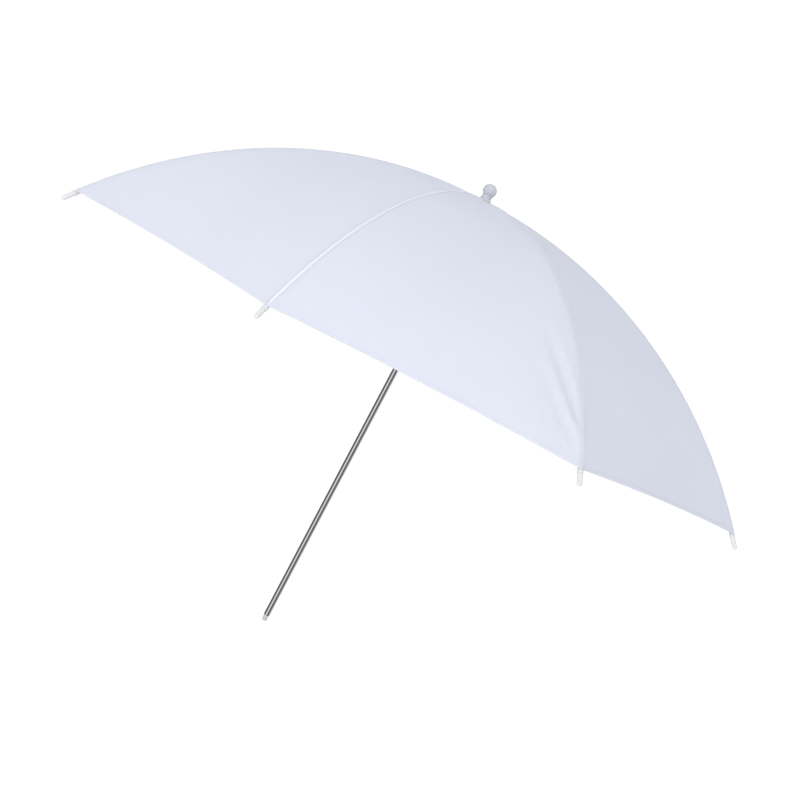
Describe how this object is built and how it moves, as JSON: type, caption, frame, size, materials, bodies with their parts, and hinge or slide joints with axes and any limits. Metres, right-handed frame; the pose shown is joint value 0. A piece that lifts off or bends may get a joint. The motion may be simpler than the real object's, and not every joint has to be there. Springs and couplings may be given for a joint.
{
  "type": "umbrella reflector",
  "caption": "Shoot-through photo umbrella: domed translucent fabric canopy on folding ribs, with a sliding runner on a straight tubular shaft.",
  "frame": {"origin": "on the shaft's axis at the tail end of the tube, where the end plug starts", "axes": "+Z along the shaft, from the tail to the crown; the first rib lies over +X"},
  "size_m": [0.8584, 0.8584, 0.565],
  "materials": {
    "canopy_fabric": "translucent white nylon",
    "chrome_tube": "polished",
    "white_plastic": "gloss",
    "clear_plug": "gloss",
    "rib_steel": "zinc plated",
    "plated_wire": "bright plated"
  },
  "bodies": {
    "shaft_assembly": {"shaft": "chrome_tube", "tail_plug": "clear_plug", "ferrule": "white_plastic", "crown_patch": "canopy_fabric", "crown_notch": "white_plastic", "crown_wire": "plated_wire", "runner_stop": "plated_wire"},
    "runner": {"runner": "white_plastic"},
    "catch": {"catch_spring": "plated_wire"},
    "rib_1": {"rib_1": "rib_steel", "rib_tip_1": "white_plastic", "rivet_1": "plated_wire"},
    "stretcher_1": {"stretcher_1": "rib_steel"},
    "gore_left_1": {"gore_left_1": "canopy_fabric"},
    "gore_right_1": {"gore_right_1": "canopy_fabric"},
    "rib_2": {"rib_2": "rib_steel", "rib_tip_2": "white_plastic", "rivet_2": "plated_wire"},
    "stretcher_2": {"stretcher_2": "rib_steel"},
    "gore_left_2": {"gore_left_2": "canopy_fabric"},
    "gore_right_2": {"gore_right_2": "canopy_fabric"},
    "rib_3": {"rib_3": "rib_steel", "rib_tip_3": "white_plastic", "rivet_3": "plated_wire"},
    "stretcher_3": {"stretcher_3": "rib_steel"},
    "gore_left_3": {"gore_left_3": "canopy_fabric"},
    "gore_right_3": {"gore_right_3": "canopy_fabric"},
    "rib_4": {"rib_4": "rib_steel", "rib_tip_4": "white_plastic", "rivet_4": "plated_wire"},
    "stretcher_4": {"stretcher_4": "rib_steel"},
    "gore_left_4": {"gore_left_4": "canopy_fabric"},
    "gore_right_4": {"gore_right_4": "canopy_fabric"},
    "rib_5": {"rib_5": "rib_steel", "rib_tip_5": "white_plastic", "rivet_5": "plated_wire"},
    "stretcher_5": {"stretcher_5": "rib_steel"},
    "gore_left_5": {"gore_left_5": "canopy_fabric"},
    "gore_right_5": {"gore_right_5": "canopy_fabric"},
    "rib_6": {"rib_6": "rib_steel", "rib_tip_6": "white_plastic", "rivet_6": "plated_wire"},
    "stretcher_6": {"stretcher_6": "rib_steel"},
    "gore_left_6": {"gore_left_6": "canopy_fabric"},
    "gore_right_6": {"gore_right_6": "canopy_fabric"},
    "rib_7": {"rib_7": "rib_steel", "rib_tip_7": "white_plastic", "rivet_7": "plated_wire"},
    "stretcher_7": {"stretcher_7": "rib_steel"},
    "gore_left_7": {"gore_left_7": "canopy_fabric"},
    "gore_right_7": {"gore_right_7": "canopy_fabric"},
    "rib_8": {"rib_8": "rib_steel", "rib_tip_8": "white_plastic", "rivet_8": "plated_wire"},
    "stretcher_8": {"stretcher_8": "rib_steel"},
    "gore_left_8": {"gore_left_8": "canopy_fabric"},
    "gore_right_8": {"gore_right_8": "canopy_fabric"}
  },
  "joints": [
    {"name": "runner_slide", "type": "slide", "parent": "shaft_assembly", "child": "runner", "axis": [0, 0, -1], "range_m": [0, 0.16421]},
    {"name": "catch_press", "type": "hinge", "parent": "shaft_assembly", "child": "catch", "pos_m": [0.00139, 0.00057, 0.37983], "axis": [0.3827, -0.9239, 0], "range_deg": [0, 6], "stiffness_Nm_per_rad": 0.02},
    {"name": "rib_fold_1", "type": "hinge", "parent": "shaft_assembly", "child": "rib_1", "pos_m": [0.0085, 0, 0.53433], "axis": [0, 1, 0], "range_deg": [0, 63.72]},
    {"name": "stretcher_fold_1", "type": "hinge", "parent": "rib_1", "child": "stretcher_1", "pos_m": [0.13577, 0, 0.51213], "axis": [0, -1, 0], "range_deg": [0, 105.48]},
    {"name": "rib_fold_2", "type": "hinge", "parent": "shaft_assembly", "child": "rib_2", "pos_m": [0.00601, 0.00601, 0.53433], "axis": [-0.7071, 0.7071, 0], "range_deg": [0, 63.72]},
    {"name": "stretcher_fold_2", "type": "hinge", "parent": "rib_2", "child": "stretcher_2", "pos_m": [0.09601, 0.09601, 0.51213], "axis": [0.7071, -0.7071, 0], "range_deg": [0, 105.48]},
    {"name": "rib_fold_3", "type": "hinge", "parent": "shaft_assembly", "child": "rib_3", "pos_m": [0, 0.0085, 0.53433], "axis": [-1, 0, 0], "range_deg": [0, 63.72]},
    {"name": "stretcher_fold_3", "type": "hinge", "parent": "rib_3", "child": "stretcher_3", "pos_m": [0, 0.13577, 0.51213], "axis": [1, 0, 0], "range_deg": [0, 105.48]},
    {"name": "rib_fold_4", "type": "hinge", "parent": "shaft_assembly", "child": "rib_4", "pos_m": [-0.00601, 0.00601, 0.53433], "axis": [-0.7071, -0.7071, 0], "range_deg": [0, 63.72]},
    {"name": "stretcher_fold_4", "type": "hinge", "parent": "rib_4", "child": "stretcher_4", "pos_m": [-0.09601, 0.09601, 0.51213], "axis": [0.7071, 0.7071, 0], "range_deg": [0, 105.48]},
    {"name": "rib_fold_5", "type": "hinge", "parent": "shaft_assembly", "child": "rib_5", "pos_m": [-0.0085, 0, 0.53433], "axis": [0, -1, 0], "range_deg": [0, 63.72]},
    {"name": "stretcher_fold_5", "type": "hinge", "parent": "rib_5", "child": "stretcher_5", "pos_m": [-0.13577, 0, 0.51213], "axis": [0, 1, 0], "range_deg": [0, 105.48]},
    {"name": "rib_fold_6", "type": "hinge", "parent": "shaft_assembly", "child": "rib_6", "pos_m": [-0.00601, -0.00601, 0.53433], "axis": [0.7071, -0.7071, 0], "range_deg": [0, 63.72]},
    {"name": "stretcher_fold_6", "type": "hinge", "parent": "rib_6", "child": "stretcher_6", "pos_m": [-0.09601, -0.09601, 0.51213], "axis": [-0.7071, 0.7071, 0], "range_deg": [0, 105.48]},
    {"name": "rib_fold_7", "type": "hinge", "parent": "shaft_assembly", "child": "rib_7", "pos_m": [0, -0.0085, 0.53433], "axis": [1, 0, 0], "range_deg": [0, 63.72]},
    {"name": "stretcher_fold_7", "type": "hinge", "parent": "rib_7", "child": "stretcher_7", "pos_m": [0, -0.13577, 0.51213], "axis": [-1, 0, 0], "range_deg": [0, 105.48]},
    {"name": "rib_fold_8", "type": "hinge", "parent": "shaft_assembly", "child": "rib_8", "pos_m": [0.00601, -0.00601, 0.53433], "axis": [0.7071, 0.7071, 0], "range_deg": [0, 63.72]},
    {"name": "stretcher_fold_8", "type": "hinge", "parent": "rib_8", "child": "stretcher_8", "pos_m": [0.09601, -0.09601, 0.51213], "axis": [-0.7071, -0.7071, 0], "range_deg": [0, 105.48]},
    {"name": "gore_left_fold_1", "type": "hinge", "parent": "rib_1", "child": "gore_left_1", "pos_m": [0.0085, 0.00169, 0.53433], "axis": [-0.7628, -0.4398, -0.474], "range_deg": [0, 23.46], "deforming": ["gore_left_1"]},
    {"name": "gore_right_fold_1", "type": "hinge", "parent": "rib_2", "child": "gore_right_1", "pos_m": [0.00721, 0.00481, 0.53433], "axis": [0.8504, 0.2284, 0.474], "range_deg": [0, 23.46], "deforming": ["gore_right_1"]},
    {"name": "gore_left_fold_2", "type": "hinge", "parent": "rib_2", "child": "gore_left_2", "pos_m": [0.00481, 0.00721, 0.53433], "axis": [-0.2284, -0.8504, -0.474], "range_deg": [0, 23.46], "deforming": ["gore_left_2"]},
    {"name": "gore_right_fold_2", "type": "hinge", "parent": "rib_3", "child": "gore_right_2", "pos_m": [0.00169, 0.0085, 0.53433], "axis": [0.4398, 0.7628, 0.474], "range_deg": [0, 23.46], "deforming": ["gore_right_2"]},
    {"name": "gore_left_fold_3", "type": "hinge", "parent": "rib_3", "child": "gore_left_3", "pos_m": [-0.00169, 0.0085, 0.53433], "axis": [0.4398, -0.7628, -0.474], "range_deg": [0, 23.46], "deforming": ["gore_left_3"]},
    {"name": "gore_right_fold_3", "type": "hinge", "parent": "rib_4", "child": "gore_right_3", "pos_m": [-0.00481, 0.00721, 0.53433], "axis": [-0.2284, 0.8504, 0.474], "range_deg": [0, 23.46], "deforming": ["gore_right_3"]},
    {"name": "gore_left_fold_4", "type": "hinge", "parent": "rib_4", "child": "gore_left_4", "pos_m": [-0.00721, 0.00481, 0.53433], "axis": [0.8504, -0.2284, -0.474], "range_deg": [0, 23.46], "deforming": ["gore_left_4"]},
    {"name": "gore_right_fold_4", "type": "hinge", "parent": "rib_5", "child": "gore_right_4", "pos_m": [-0.0085, 0.00169, 0.53433], "axis": [-0.7628, 0.4398, 0.474], "range_deg": [0, 23.46], "deforming": ["gore_right_4"]},
    {"name": "gore_left_fold_5", "type": "hinge", "parent": "rib_5", "child": "gore_left_5", "pos_m": [-0.0085, -0.00169, 0.53433], "axis": [0.7628, 0.4398, -0.474], "range_deg": [0, 23.46], "deforming": ["gore_left_5"]},
    {"name": "gore_right_fold_5", "type": "hinge", "parent": "rib_6", "child": "gore_right_5", "pos_m": [-0.00721, -0.00481, 0.53433], "axis": [-0.8504, -0.2284, 0.474], "range_deg": [0, 23.46], "deforming": ["gore_right_5"]},
    {"name": "gore_left_fold_6", "type": "hinge", "parent": "rib_6", "child": "gore_left_6", "pos_m": [-0.00481, -0.00721, 0.53433], "axis": [0.2284, 0.8504, -0.474], "range_deg": [0, 23.46], "deforming": ["gore_left_6"]},
    {"name": "gore_right_fold_6", "type": "hinge", "parent": "rib_7", "child": "gore_right_6", "pos_m": [-0.00169, -0.0085, 0.53433], "axis": [-0.4398, -0.7628, 0.474], "range_deg": [0, 23.46], "deforming": ["gore_right_6"]},
    {"name": "gore_left_fold_7", "type": "hinge", "parent": "rib_7", "child": "gore_left_7", "pos_m": [0.00169, -0.0085, 0.53433], "axis": [-0.4398, 0.7628, -0.474], "range_deg": [0, 23.46], "deforming": ["gore_left_7"]},
    {"name": "gore_right_fold_7", "type": "hinge", "parent": "rib_8", "child": "gore_right_7", "pos_m": [0.00481, -0.00721, 0.53433], "axis": [0.2284, -0.8504, 0.474], "range_deg": [0, 23.46], "deforming": ["gore_right_7"]},
    {"name": "gore_left_fold_8", "type": "hinge", "parent": "rib_8", "child": "gore_left_8", "pos_m": [0.00721, -0.00481, 0.53433], "axis": [-0.8504, 0.2284, -0.474], "range_deg": [0, 23.46], "deforming": ["gore_left_8"]},
    {"name": "gore_right_fold_8", "type": "hinge", "parent": "rib_1", "child": "gore_right_8", "pos_m": [0.0085, -0.00169, 0.53433], "axis": [0.7628, -0.4398, 0.474], "range_deg": [0, 23.46], "deforming": ["gore_right_8"]}
  ],
  "couplings": [
    {"joint": "rib_fold_1", "follows": "runner_slide", "rad_per_m": 6.7721},
    {"joint": "stretcher_fold_1", "follows": "runner_slide", "rad_per_m": 11.212},
    {"joint": "rib_fold_2", "follows": "runner_slide", "rad_per_m": 6.7721},
    {"joint": "stretcher_fold_2", "follows": "runner_slide", "rad_per_m": 11.212},
    {"joint": "rib_fold_3", "follows": "runner_slide", "rad_per_m": 6.7721},
    {"joint": "stretcher_fold_3", "follows": "runner_slide", "rad_per_m": 11.212},
    {"joint": "rib_fold_4", "follows": "runner_slide", "rad_per_m": 6.7721},
    {"joint": "stretcher_fold_4", "follows": "runner_slide", "rad_per_m": 11.212},
    {"joint": "rib_fold_5", "follows": "runner_slide", "rad_per_m": 6.7721},
    {"joint": "stretcher_fold_5", "follows": "runner_slide", "rad_per_m": 11.212},
    {"joint": "rib_fold_6", "follows": "runner_slide", "rad_per_m": 6.7721},
    {"joint": "stretcher_fold_6", "follows": "runner_slide", "rad_per_m": 11.212},
    {"joint": "rib_fold_7", "follows": "runner_slide", "rad_per_m": 6.7721},
    {"joint": "stretcher_fold_7", "follows": "runner_slide", "rad_per_m": 11.212},
    {"joint": "rib_fold_8", "follows": "runner_slide", "rad_per_m": 6.7721},
    {"joint": "stretcher_fold_8", "follows": "runner_slide", "rad_per_m": 11.212},
    {"joint": "gore_left_fold_1", "follows": "runner_slide", "rad_per_m": 2.4938},
    {"joint": "gore_right_fold_1", "follows": "runner_slide", "rad_per_m": 2.4938},
    {"joint": "gore_left_fold_2", "follows": "runner_slide", "rad_per_m": 2.4938},
    {"joint": "gore_right_fold_2", "follows": "runner_slide", "rad_per_m": 2.4938},
    {"joint": "gore_left_fold_3", "follows": "runner_slide", "rad_per_m": 2.4938},
    {"joint": "gore_right_fold_3", "follows": "runner_slide", "rad_per_m": 2.4938},
    {"joint": "gore_left_fold_4", "follows": "runner_slide", "rad_per_m": 2.4938},
    {"joint": "gore_right_fold_4", "follows": "runner_slide", "rad_per_m": 2.4938},
    {"joint": "gore_left_fold_5", "follows": "runner_slide", "rad_per_m": 2.4938},
    {"joint": "gore_right_fold_5", "follows": "runner_slide", "rad_per_m": 2.4938},
    {"joint": "gore_left_fold_6", "follows": "runner_slide", "rad_per_m": 2.4938},
    {"joint": "gore_right_fold_6", "follows": "runner_slide", "rad_per_m": 2.4938},
    {"joint": "gore_left_fold_7", "follows": "runner_slide", "rad_per_m": 2.4938},
    {"joint": "gore_right_fold_7", "follows": "runner_slide", "rad_per_m": 2.4938},
    {"joint": "gore_left_fold_8", "follows": "runner_slide", "rad_per_m": 2.4938},
    {"joint": "gore_right_fold_8", "follows": "runner_slide", "rad_per_m": 2.4938}
  ]
}
